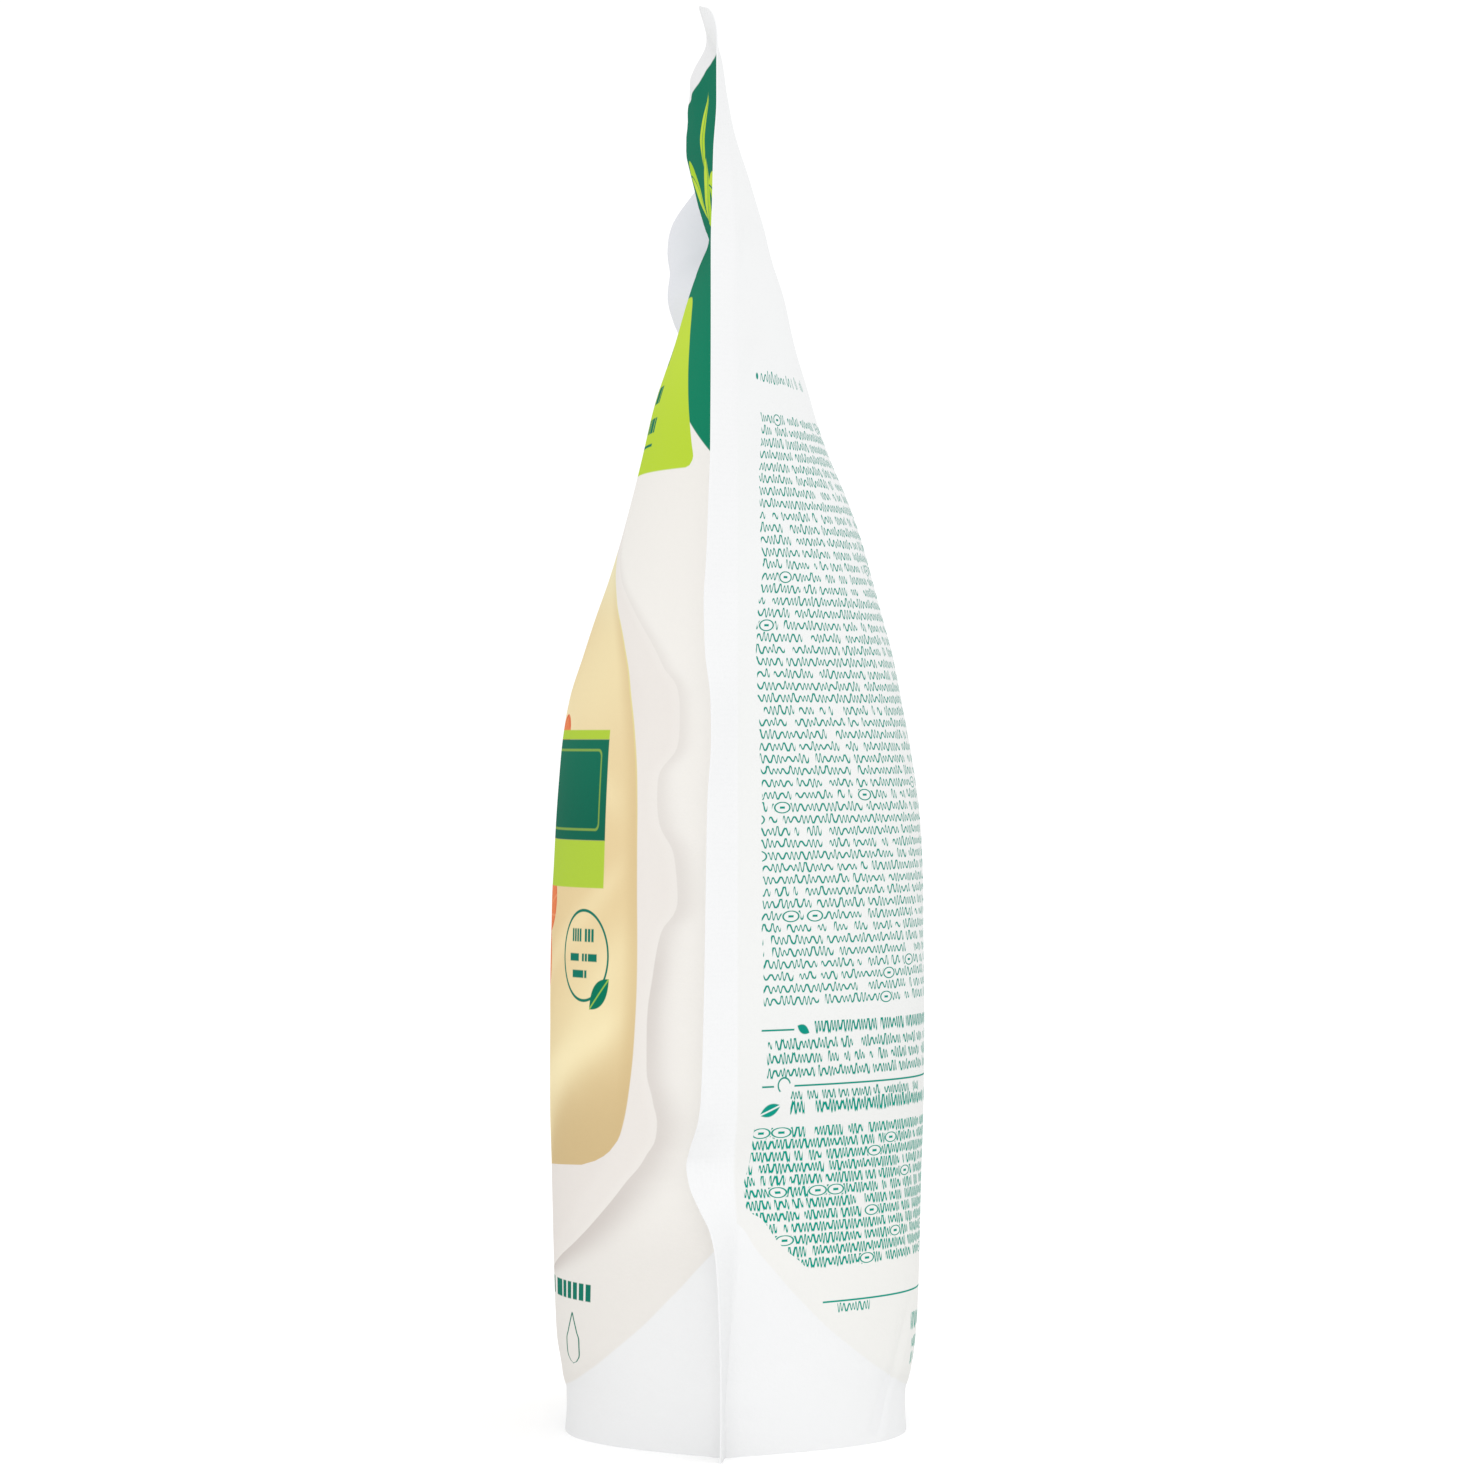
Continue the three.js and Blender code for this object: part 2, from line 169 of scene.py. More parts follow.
def lean(s, z):
    """How far the head leans out of the mid plane: cubic across, then monotone cubic up."""
    s = np.asarray(s, float)
    if z <= LEAN_CURVES[0][0]:
        return np.zeros_like(s)
    y = np.array([f(s) for _, f in LEAN_CURVES])
    x = np.array([h for h, _ in LEAN_CURVES], float)
    h = np.diff(x)
    i = min(int(np.searchsorted(x, z, side="right")) - 1, len(h) - 1)

    def slope(k):
        if k == 0 or k == len(x) - 1:
            j = min(k, len(h) - 1)
            return (y[j + 1] - y[j]) / h[j]
        a, b = (y[k] - y[k - 1]) / h[k - 1], (y[k + 1] - y[k]) / h[k]
        w1, w2 = 2 * h[k] + h[k - 1], h[k] + 2 * h[k - 1]
        ok = a * b > 0
        return np.where(ok, (w1 + w2) / (w1 / np.where(ok, a, 1) + w2 / np.where(ok, b, 1)), 0)

    u = (min(z, x[-1]) - x[i]) / h[i]
    u2, u3 = u * u, u**3
    return (
        (2 * u3 - 3 * u2 + 1) * y[i]
        + (u3 - 2 * u2 + u) * h[i] * slope(i)
        + (3 * u2 - 2 * u3) * y[i + 1]
        + (u3 - u2) * h[i] * slope(i + 1)
    )


_sections = {}


def section(z):
    """Half width between the side welds, such that the film keeps its length."""
    key = round(float(z), 6)
    if key not in _sections:
        w = FLAT_HALF - SIDE_WELD
        d = float(front_depth(z) + back_depth(z)) / 2
        p = float(roundness(z))
        u = np.linspace(0, 1, 241)
        y = d * (1 - u**p)

        def length(a):
            return np.concatenate([[0], np.cumsum(np.hypot(np.diff(u) * a, np.diff(y)))])

        low, high = 20.0, w
        for _ in range(36):
            mid = (low + high) / 2
            if length(mid)[-1] > w:
                high = mid
            else:
                low = mid
        _sections[key] = (low, length(low), u, p, w)
    return _sections[key]


def share(z, s):
    a, at, u, p, w = section(z)
    return np.interp(np.minimum(1, np.abs(s) / w) * at[-1], at, u)


def channel(s, z):
    """How much of the spout's channel a point has, and its distance back from the lip."""
    dx, dz = s - LIP[0], z - LIP[1]
    back = -(dx * LIP_DIR[0] + dz * LIP_DIR[1])
    across = dx * LIP_DIR[1] - dz * LIP_DIR[0]
    r = CHANNEL_R + 0.13 * np.maximum(0, back)
    q = np.clip((across / r) ** 2, 0, 1)
    part = (1 - q) ** 1.15 * (1 - smooth(33, 44, back))
    return np.where((back < 0.3) | (back > 44), 0, part), back


def surface(s, z, side, weld_t=WELD_T):
    """Points of one face at height z, for an array of flat x."""
    s = np.asarray(s, float)
    a, _, _, p, w = section(z)
    right = s > 0
    sign = np.where(right, 1.0, -1.0)
    out = np.maximum(0, np.abs(s) - w)
    t = share(z, np.minimum(np.abs(s), w))
    tuck = 1.6 * bell(z, 47, 8)
    sway = np.where(
        right,
        -2.1 * (1 - smooth(4, 40, z)) - 0.6 * bell(z, 47, 7),
        1.2 * bell(z, 46, 7) - 1.2 * (1 - smooth(4, 36, z)),
    )
    here = lean(s, z)
    x = sign * (a - tuck * t**2) * t
    y = here + sway * t**4
    root = lean(sign * w, z) + sway
    edge = np.where(right, right_edge(z), left_edge(z))
    fold = np.where(right, 1.0, 1 - smooth(172, 188, z))
    sin = np.clip((root - edge) / SIDE_WELD * fold, -0.97, 0.97)
    yo = fold * (root - out * sin) + (1 - fold) * (here + sway)
    xo = sign * (a - tuck + out * np.sqrt(1 - sin * sin))
    x = np.where(out > 0, xo, x)
    y = np.where(out > 0, yo, y)
    zf = z + 0.081 * s * smooth(186, 200, z) * (1 - smooth(212, 226, z)) if side < 0 else z + 0 * s
    lift = (front_depth(zf) if side < 0 else back_depth(zf)) * (1 - t**p)
    lift = lift * (1 - 0.06 * smooth(0.7, 1, t) * (1 - smooth(2, 34, z)))
    lift = lift * smooth(0, 14, s - weld_limit(z))
    lift = np.where(out > 0, 0, lift)
    part, back = channel(s, z)
    want = y - WELD_T / 2 - crest(back) if side < 0 else 2.6 * smooth(0.3, 7, back)
    lift = lift + np.maximum(0, want - lift) * part
    return x, y, lift, t, out


# ------------------------------------------------------------------ relief finer than the solid's
u_weld = curve([
    (0, 7.4), (12, 8.3), (23, 10.6), (37, 17), (49.5, 26.2), (54, 30.3), (58, 34), (62, 38.5),
    (70, 42),
])


def relief(s, z, side, t, out):
    """Creases, puckers and seal steps in the film, in mm outwards."""
    body = np.where(out > 0, 0.0, 1.0)
    away = smooth(0, 0.12, 1 - t)  # nothing right at the side weld
    low = u_weld(np.abs(s))
    # the U weld: a flat skirt with a fine step where the base film is sealed on
    r = -0.28 * (1 - smooth(-0.9, 0.7, z - low)) * away
    r += 0.16 * bell(z, low + 1.6, 1.3) * away
    # puckers running in from the side welds, fading over 15 mm
    near = np.clip((t - 0.72) / 0.28, 0, 1) ** 1.5 * away
    ph = np.where(s > 0, 0.0, 2.1) + (0.9 if side > 0 else 0.0)
    fade = smooth(34, 52, z) * (1 - smooth(206, 226, z))
    r += near * fade * (
        0.26 * np.sin(z / 2.9 + ph + 1.3 * np.sin(z / 17))
        + 0.17 * np.sin(z / 1.7 + 2 * ph + 1.9 * np.sin(z / 11))
    )
    # very slow undulation of the filled faces
    r += away * fade * 0.14 * np.sin(s / 9 + z / 21 + ph) * np.sin(z / 13 - s / 31)
    if side > 0:
        # soft crease at the foot of the back, from mid height of the skirt down to its edge
        c = 17.5 + (20 - z) * 0.62
        r += -0.42 * bell(s, c, 1.5) * smooth(0, 3, z) * (1 - smooth(17, 25, z))
        r += 0.24 * bell(s, c - 3.2, 1.7) * (1 - smooth(15, 24, z))
        c = -31 + (18 - z) * 0.3
        r += -0.28 * bell(s, c, 1.8) * (1 - smooth(14, 24, z))
    else:
        c = -27 + (18 - z) * 0.4
        r += -0.3 * bell(s, c, 1.7) * (1 - smooth(14, 24, z))
        c = 8 - (16 - z) * 0.3
        r += -0.22 * bell(s, c, 2.2) * (1 - smooth(12, 22, z))
    # creases that start at the tucks above the base film's corners
    for sg in (1, -1):
        d = s * sg
        line = 47 - (62 - d) * (0.34 if side > 0 else 0.2)
        r += -0.5 * bell(z, line, 1.5) * smooth(38, 56, d) * away
        line = 50 + (62 - d) * 0.5
        r += -0.3 * bell(z, line, 2.2) * smooth(44, 57, d) * away
    # fine wrinkles where the head narrows towards the spout, and below the head weld
    dx, dz = s - LIP[0], z - LIP[1]
    back = -(dx * LIP_DIR[0] + dz * LIP_DIR[1])
    across = dx * LIP_DIR[1] - dz * LIP_DIR[0]
    fan = smooth(30, 46, back) * (1 - smooth(60, 92, back)) * bell(across, 0, 26) * smooth(168, 178, z)
    r += fan * 0.34 * np.sin(np.arctan2(across, back + 6) * 26 + 0.8)
    r += 0.12 * np.sin(s / 3.1 + 1.2 * np.sin(s / 11)) * bell(z, HEAD - 3, 4) * away
    return r * body


# ------------------------------------------------------------------ the film skin
LEVELS = np.concatenate([
    np.linspace(0, 16, 26, endpoint=False), np.linspace(16, 62, 50, endpoint=False),
    np.linspace(62, 172, 84, endpoint=False), np.linspace(172, 190, 18, endpoint=False),
    np.linspace(190, 230, 56, endpoint=False), np.linspace(230, HEIGHT, 12),
])
BODY_COLUMNS, WELD_COLUMNS = 112, 5
SKIN_T = 0.34  # two films at a weld


def columns(z):
    left, right = float(left_outline(z)), right_outline(z)
    lw = left + float(left_weld(z))
    rw = min(right - 1, FLAT_HALF - SIDE_WELD)
    u = np.linspace(0, 1, BODY_COLUMNS + 1)
    mid = lw + (rw - lw) * (u - 0.03 * np.sin(4 * np.pi * u) - 0.02 * np.sin(np.pi * u))
    a = np.linspace(left, lw, WELD_COLUMNS, endpoint=False)
    b = np.linspace(rw, right, WELD_COLUMNS + 1)[1:]
    return np.concatenate([a, mid, b])


def face_points(s, z, side):
    x, y, lift, t, out = surface(s, z, side)
    lift = np.maximum(0, lift + relief(s, z, side, t, out))
    edge = smooth(0, 0.5, np.minimum(s - s.min(), s.max() - s)) * 0.4 + 0.6
    return np.stack([x, y + side * (SKIN_T / 2 * edge + lift), np.full_like(x, z)], 1)


verts, film_uv = [], []  # film_uv holds flat x and height


def put(points, uv):
    first = len(verts)
    verts.extend(map(tuple, points))
    film_uv.extend(map(tuple, uv))
    return np.arange(first, first + len(points))


rings = {-1: [], 1: []}
flat = []
for z in LEVELS:
    s = columns(float(z))
    flat.append(s)
    for side in (-1, 1):
        rings[side].append(put(face_points(s, float(z), side), np.stack([s, np.full_like(s, z)], 1)))
front, back = np.array(rings[-1]), np.array(rings[1])
COUNT = front.shape[1]

faces, group, bake_uv = [], [], []
FRONT, BACK, BASE = 0, 1, 2
K = 0.482 / 140  # atlas units per mm on the two faces


def atlas(i, side):
    s, z = film_uv[i]
    v = 0.994 - (HEIGHT - z) * K
    return (0.006 + (s + 70) * K, v) if side < 0 else (0.512 + (70 - s) * K, v)


def add(ids, kind, uvs):
    faces.append(tuple(int(i) for i in ids))
    group.append(kind)
    bake_uv.extend(uvs)


for i in range(len(LEVELS) - 1):
    for j in range(COUNT - 1):
        q = (front[i, j], front[i, j + 1], front[i + 1, j + 1], front[i + 1, j])
        add(q, FRONT, [atlas(k, -1) for k in q])
        q = (back[i, j + 1], back[i, j], back[i + 1, j], back[i + 1, j + 1])
        add(q, BACK, [atlas(k, 1) for k in q])


def strip(pairs, row, kind, flip=False):
    """A thin edge strip between two rows of points, laid flat low in the atlas."""
    n = len(pairs) - 1
    for i in range(n):
        (a, b), (c, d) = pairs[i], pairs[i + 1]
        u0, u1 = 0.60 + 0.39 * i / n, 0.60 + 0.39 * (i + 1) / n
        v0, v1 = row, row + 0.008
        q, uv = (a, b, d, c), [(u0, v0), (u0, v1), (u1, v1), (u1, v0)]
        if flip:
            q, uv = q[::-1], uv[::-1]
        add(q, kind, uv)


n_levels = len(LEVELS)
strip([(front[i, -1], back[i, -1]) for i in range(n_levels)], 0.010, BASE)
strip([(back[i, 0], front[i, 0]) for i in range(n_levels)], 0.026, BASE)
strip([(front[-1, j], back[-1, j]) for j in range(COUNT)], 0.042, BASE, flip=True)

# ------------------------------------------------------------------ the base film and skirts
WALL, ACROSS = 12, 40
foot = flat[0]


def inside(s, z, side):
    s = np.atleast_1d(np.asarray(s, float))

    def at(v):
        x, y, lift, _, _ = surface(v, float(z), side)
        return x, y + side * (SKIN_T / 2 + lift)

    (x, y), (x1, y1), (x0, y0) = at(s), at(s + 0.5), at(s - 0.5)
    slope = (y1 - y0) / np.maximum(0.05, x1 - x0)
    y = y - side * 0.34 * np.minimum(2.6, np.hypot(1, slope))
    return np.array([x[0], y[0], z])


gap = np.array([inside(s, 0, 1)[1] - inside(s, 0, -1)[1] for s in foot])
opened = np.nonzero(gap > 1.6)[0]
first, last = opened[0], opened[-1]
t_end = min(float(share(0, abs(foot[first]))), float(share(0, abs(foot[last]))))
chains, walls = [], []
for j in range(first, last + 1):
    s = float(foot[j])
    t = float(share(0, abs(s)))
    weld = BASE_U_MID + (BASE_U_SIDE - BASE_U_MID) * t**2.3
    hang = -2.6 + (weld + 2.6) * float(smooth(0.4, t_end, t)) ** 1.2
    hs = np.linspace(0, weld, WALL + 1)
    up = [inside(s, h, -1) for h in hs]
    down = [inside(s, h, 1) for h in hs[::-1]]
    a, b = up[-1], down[0]
    v = 2 * np.arange(1, ACROSS) / ACROSS - 1
    ripple = 0.5 * np.sin(v * 9 + s / 6) * np.clip(1 - v**2, 0, 1) * float(smooth(0.35, 0.7, t))
    h = np.maximum(0, hang + (weld - hang) * v**2 + ripple)
    ys = a[1] + (b[1] - a[1]) * (v + 1) / 2
    over = np.stack([np.full_like(v, a[0]), ys, h], 1)
    pts = np.concatenate([up, over, down])
    chains.append(put(pts, np.stack([np.full(len(pts), s), pts[:, 2]], 1)))
chains = np.array(chains)
N = chains.shape[1] - 1
arc = [0.0]
mid = chains[len(chains) // 2]
for k in range(N):
    arc.append(arc[-1] + float(np.linalg.norm(np.array(verts[mid[k + 1]]) - verts[mid[k]])))
n_ch = len(chains)


def under(j, k):
    return (0.010 + 0.56 * j / (n_ch - 1), 0.012 + 0.150 * arc[k] / arc[-1])


for j in range(n_ch - 1):
    for k in range(N):
        a, b = chains[j], chains[j + 1]
        add(
            (b[k], a[k], a[k + 1], b[k + 1]), BASE,
            [under(j + 1, k), under(j, k), under(j, k + 1), under(j + 1, k + 1)],
        )
fa, ba = front[0], back[0]
strip([(fa[j], chains[j - first][0]) for j in range(first, last + 1)], 0.058, BASE, flip=False)
strip([(chains[j - first][N], ba[j]) for j in range(first, last + 1)], 0.074, BASE, flip=False)
strip([(fa[j], ba[j]) for j in range(0, first)], 0.090, BASE)
strip([(fa[j], ba[j]) for j in range(last + 1, COUNT)], 0.106, BASE)
# where the closed edge meets the hollow, and the hollow's blind ends
for j, chain, turned, u in ((first, chains[0], False, 0.62), (last, chains[-1], True, 0.80)):
    o = j - 1 if not turned else j + 1
    rim = [fa[o], ba[o], ba[j], chain[N], chain[0], fa[j]]
    rim_uv = [(u, 0.125), (u, 0.127), (u + 0.004, 0.127), (u + 0.004, 0.1265), (u + 0.004, 0.1255), (u + 0.004, 0.125)]
    for k in range(1, 5):
        tri, uv = [rim[0], rim[k], rim[k + 1]], [rim_uv[0], rim_uv[k], rim_uv[k + 1]]
        if turned:
            tri, uv = tri[::-1], uv[::-1]
        add(tri, BASE, uv)
    top_z = max(verts[c][2] for c in chain)

    def spot(c):
        p = verts[c]
        return (u + 0.02 + (p[1] + 30) / 60 * 0.1, 0.132 + 0.028 * p[2] / max(top_z, 1))

    rows = [(chain[k], chain[N - k]) for k in range(WALL)]
    for k in range(WALL - 1):
        q = [rows[k][0], rows[k][1], rows[k + 1][1], rows[k + 1][0]]
        if turned:
            q = q[::-1]
        add(q, BASE, [spot(c) for c in q])
    fan = [chain[k] for k in range(N - WALL + 1, WALL - 1, -1)]
    for k in range(len(fan) - 1):
        q = [chain[WALL - 1], fan[k], fan[k + 1]]
        if turned:
            q = q[::-1]
        add(q, BASE, [spot(c) for c in q])

pts = np.array(verts)
centre = (pts[:, :2].min(0) + pts[:, :2].max(0)) / 2
pts[:, :2] -= centre

mesh = bpy.data.meshes.new("pouch_film")
mesh.from_pydata([tuple(p) for p in pts * 0.001], [], faces)
film = mesh.uv_layers.new(name="film")
bake = mesh.uv_layers.new(name="OFBake")
loops = np.concatenate([np.array(f) for f in faces])
uv = np.array(film_uv)[loops]
film.data.foreach_set("uv", np.stack([(uv[:, 0] + 80) / 160, uv[:, 1] / 240], 1).ravel())
bake.data.foreach_set("uv", np.array(bake_uv, float).ravel())
mesh.uv_layers.active = film
film.active_render = True
mesh.polygons.foreach_set("material_index", np.array(group, dtype=np.int32))
mesh.polygons.foreach_set("use_smooth", np.ones(len(faces), dtype=bool))
bm = bmesh.new()
bm.from_mesh(mesh)
open_edges = sum(1 for e in bm.edges if len(e.link_faces) != 2)
wrong = sum(1 for e in bm.edges if len(e.link_faces) == 2 and not e.is_contiguous)
print("pouch_film", len(bm.verts), "vertices", len(bm.faces), "faces", "open", open_edges, "turned", wrong, "volume ml", bm.calc_volume() * 1e6, "centre", centre)
for e in bm.edges:
    if len(e.link_faces) == 2 and e.calc_face_angle(0) > 0.75:
        e.smooth = False
bm.to_mesh(mesh)
bm.free()
pouch = bpy.data.objects.new("pouch_film", mesh)
bpy.context.scene.collection.objects.link(pouch)


# ------------------------------------------------------------------ node arithmetic
class Net:
    """Short hand for building a material from arithmetic on film coordinates."""

    def __init__(self, material):
        material.use_nodes = True
        self.tree = material.node_tree
        self.tree.nodes.clear()
        self.count = 0

    def node(self, kind, **settings):
        n = self.tree.nodes.new(kind)
        n.location = (220 * (self.count % 24), -180 * (self.count // 24))
        self.count += 1
        for k, v in settings.items():
            setattr(n, k, v)
        return n

    def feed(self, socket, value):
        if isinstance(value, F):
            value = value.v
        if isinstance(value, (int, float)):
            socket.default_value = float(value)
        elif isinstance(value, tuple):
            socket.default_value = value
        else:
            self.tree.links.new(value, socket)

    def math(self, op, a, b=None, c=None):
        n = self.node("ShaderNodeMath", operation=op)
        for i, v in enumerate((a, b, c)):
            if v is not None:
                self.feed(n.inputs[i], v)
        return F(self, n.outputs[0])

    def ramp(self, x, a, b, soft=True):
        """0 below a, 1 above b."""
        n = self.node("ShaderNodeMapRange", interpolation_type="SMOOTHSTEP" if soft else "LINEAR", clamp=True)
        self.feed(n.inputs["Value"], x)
        flip = a > b
        n.inputs["From Min"].default_value = b if flip else a
        n.inputs["From Max"].default_value = a if flip else b
        n.inputs["To Min"].default_value = 1.0 if flip else 0.0
        n.inputs["To Max"].default_value = 0.0 if flip else 1.0
        return F(self, n.outputs["Result"])

    def inside(self, d, w=0.13):
        return self.ramp(d, -w, w)

    def line(self, x, knots, smooth_line=True):
        """A curve through (x, y) knots."""
        x0, x1 = knots[0][0], knots[-1][0]
        ys = [k[1] for k in knots]
        y0, y1 = min(ys), max(ys)
        y1 = y1 if y1 > y0 else y0 + 1
        n = self.node("ShaderNodeFloatCurve")
        self.feed(n.inputs["Factor"], 1.0)
        self.feed(n.inputs["Value"], (x - x0) * (1 / (x1 - x0)))
        c = n.mapping.curves[0]
        pts = [((a - x0) / (x1 - x0), (b - y0) / (y1 - y0)) for a, b in knots]
        c.points[0].location = pts[0]
        c.points[1].location = pts[-1]
        for p in pts[1:-1]:
            c.points.new(*p)
        for p in c.points:
            p.handle_type = "AUTO_CLAMPED" if smooth_line else "VECTOR"
        n.mapping.extend = "HORIZONTAL"
        n.mapping.update()
        return F(self, n.outputs["Value"]) * (y1 - y0) + y0

    def vector(self, x, y, z=0.0):
        n = self.node("ShaderNodeCombineXYZ")
        for i, v in enumerate((x, y, z)):
            self.feed(n.inputs[i], v)
        return n.outputs[0]

    def noise(self, vec, scale, detail=2.0, rough=0.5):
        n = self.node("ShaderNodeTexNoise", noise_dimensions="3D")
        self.feed(n.inputs["Vector"], vec)
        n.inputs["Scale"].default_value = scale
        n.inputs["Detail"].default_value = detail
        n.inputs["Roughness"].default_value = rough
        return F(self, n.outputs["Fac"])

    def randoms(self, x, y, seed):
        n = self.node("ShaderNodeTexWhiteNoise", noise_dimensions="3D")
        self.feed(n.inputs["Vector"], self.vector(x, y, seed))
        s = self.node("ShaderNodeSeparateColor")
        self.feed(s.inputs[0], n.outputs["Color"])
        return [F(self, s.outputs[i]) for i in range(3)] + [F(self, n.outputs["Value"])]

    def mix(self, mask, under, over):
        n = self.node("ShaderNodeMix", data_type="RGBA", blend_type="MIX", clamp_factor=True)
        ins = [i for i in n.inputs if i.enabled]
        self.feed(ins[0], mask)
        self.feed(ins[1], under)
        self.feed(ins[2], over)
        return [o for o in n.outputs if o.enabled][0]

    def tint(self, colour, gain):
        """Colour times a field."""
        n = self.node("ShaderNodeVectorMath", operation="SCALE")
        self.feed(n.inputs[0], colour if not isinstance(colour, tuple) else colour[:3])
        self.feed(n.inputs["Scale"], gain)
        return n.outputs[0]


class F:
    """A field: a socket, or a number."""

    def __init__(self, net, v):
        self.net, self.v = net, v

    def __add__(self, o):
        return self.net.math("ADD", self, o)

    __radd__ = __add__

    def __sub__(self, o):
        return self.net.math("SUBTRACT", self, o)

    def __rsub__(self, o):
        return self.net.math("SUBTRACT", o, self)

    def __mul__(self, o):
        return self.net.math("MULTIPLY", self, o)

    __rmul__ = __mul__

    def __truediv__(self, o):
        return self.net.math("DIVIDE", self, o)

    def __neg__(self):
        return self.net.math("MULTIPLY", self, -1.0)

    def __and__(self, o):
        return self.net.math("MINIMUM", self, o)

    def __or__(self, o):
        return self.net.math("MAXIMUM", self, o)

    def __invert__(self):
        return self.net.math("SUBTRACT", 1.0, self)

    def abs(self):
        return self.net.math("ABSOLUTE", self)

    def floor(self):
        return self.net.math("FLOOR", self)

    def fract(self):
        return self.net.math("FRACT", self)

    def sin(self):
        return self.net.math("SINE", self)

    def cos(self):
        return self.net.math("COSINE", self)

    def sq(self):
        return self.net.math("MULTIPLY", self, self)

    def root(self):
        return self.net.math("SQRT", self)

    def gt(self, o):
        return self.net.math("GREATER_THAN", self, o)

    def lt(self, o):
        return self.net.math("LESS_THAN", self, o)

    def at_least(self, o):
        return self.net.math("MAXIMUM", self, o)


def srgb(r, g, b):
    """The linear colour of an sRGB triple given in 0 to 255."""
    out = []
    for c in (r, g, b):
        c /= 255
        out.append(c / 12.92 if c <= 0.04045 else ((c + 0.055) / 1.055) ** 2.4)
    return tuple(out) + (1.0,)


FRONT_LIGHT, BACK_LIGHT = 1.2, 1.265  # what the studio light puts on each face


def tone(r, g, b, light=FRONT_LIGHT):
    """The film's own colour for an sRGB triple as it should appear under that light."""
    return tuple(min(0.97, c / light) for c in srgb(r, g, b)[:3]) + (1.0,)


def turned(s, z, cx, cz, degrees):
    c, w = math.cos(math.radians(degrees)), math.sin(math.radians(degrees))
    dx, dz = s - cx, z - cz
    return dx * c + dz * w, dz * c - dx * w


def box(n, s, z, x0, z0, x1, z1, r=0.0, w=0.12):
    """A rectangle with rounded corners."""
    qx = (s - (x0 + x1) / 2).abs() - ((x1 - x0) / 2 - r)
    qz = (z - (z0 + z1) / 2).abs() - ((z1 - z0) / 2 - r)
    if r == 0:
        return n.inside(-(qx | qz), w)
    corner = (qx.at_least(0).sq() + qz.at_least(0).sq()).root()
    return n.inside(r - (corner + ((qx | qz) & 0.0)), w)


def blocks(n, s, z, places, step, share=0.72):
    """Greeked words: runs of plain blocks."""
    out = None
    for x0, z0, x1, z1 in places:
        count = max(1, round((x1 - x0) / step))
        wide = (x1 - x0) / count
        q = (s - x0) * (1 / wide)
        u = q.fract() * wide
        joined = n.randoms(q.floor(), x0 + z0, 5.3)[0].gt(0.62) & (s.lt(x1 - wide))
        b = (n.inside(share * wide - u, 0.1) | joined) & box(n, s, z, x0, z0, x1 - (1 - share) * wide, z1)
        out = b if out is None else out | b
    return out


def leaf(n, s, z, cx, cz, degrees, half, wide, bend=0.0, w=0.12):
    a, b = turned(s, z, cx, cz, degrees)
    q = (a * (1 / half)).sq()
    if bend:
        b = b - q * bend
    return n.inside((1 - q) * wide - b.abs(), w), a, b


def disc(n, s, z, cx, cz, r, w=0.12):
    return n.inside(r - ((s - cx).sq() + (z - cz).sq()).root(), w)


def rows(n, s, z, top, pitch, count, left, right, cell, x_height, seed, gap=0.15, weight=0.24, marks=0.0):
    """Greeked rows: a fine squiggle broken into runs as long as words, that spells nothing.

    left and right are margins as seen on the face: the rows run from left to right, and left
    may be the larger flat x.
    """
    way = 1.0 if right > left else -1.0
    r = (top - z) * (1 / pitch)
    row = r.floor()
    v = (r.fract()) * pitch  # mm down from the row's top
    along = (s - left) * way
    shift = n.randoms(row, seed + 0.5, 3.1)[0]
    c = along * (1 / cell) + shift * 0.9
    c = c + (c * 1.7 + shift * 9.0).sin() * 0.24  # uneven widths
    r1, r2, r3, r4 = n.randoms(row, c.floor(), seed + 0.17)
    base = pitch * 0.76  # the base line, down from the row's top
    cap = base - x_height
    mid = (cap + base) * 0.5
    turn = c * (2 * math.pi)  # one turn of the squiggle to a cell, of uneven height
    rise = turn.sin()
    amp = (r2 * 0.24 + 0.3 + r3.gt(0.76) * rise.gt(0.0) * 0.3) * x_height & (mid * 0.94)
    slope = turn.cos() * amp * (2 * math.pi / cell)
    away = (v - mid + rise * amp).abs() / (slope.sq() + 1.0).root()
    half = weight * x_height * 0.53
    ink = n.ramp(away, half + 0.05, half - 0.05) & r1.gt(gap)
    if marks:
        # now and then a small outlined oval in place of four cells
        q = along * (1 / (cell * 4.2)) + shift * 5
        pick = n.randoms(row, q.floor(), seed + 2.9)[1].gt(1 - marks)
        du = (q.fract() - 0.5) * (cell * 4.2)
        dv = v - mid
        tall = min(x_height * 0.86, mid / 1.08)
        e = ((du * (1 / (x_height * 1.5))).sq() + (dv * (1 / tall)).sq()).root()
        oval = n.ramp((e - 1.0).abs(), 0.15, 0.06)
        dash = n.ramp(du.abs(), 0.55 * x_height, 0.45 * x_height) & n.ramp(dv.abs(), 0.2 * x_height, 0.12 * x_height)
        clear = n.ramp(e, 1.3, 1.2) & pick
        ink = (ink & ~(clear)) | ((oval | dash) & pick)
    zone = n.inside(along, 0.05) & n.inside((right - s) * way, 0.05) & r.gt(0.0) & r.lt(float(count))
    return ink & zone


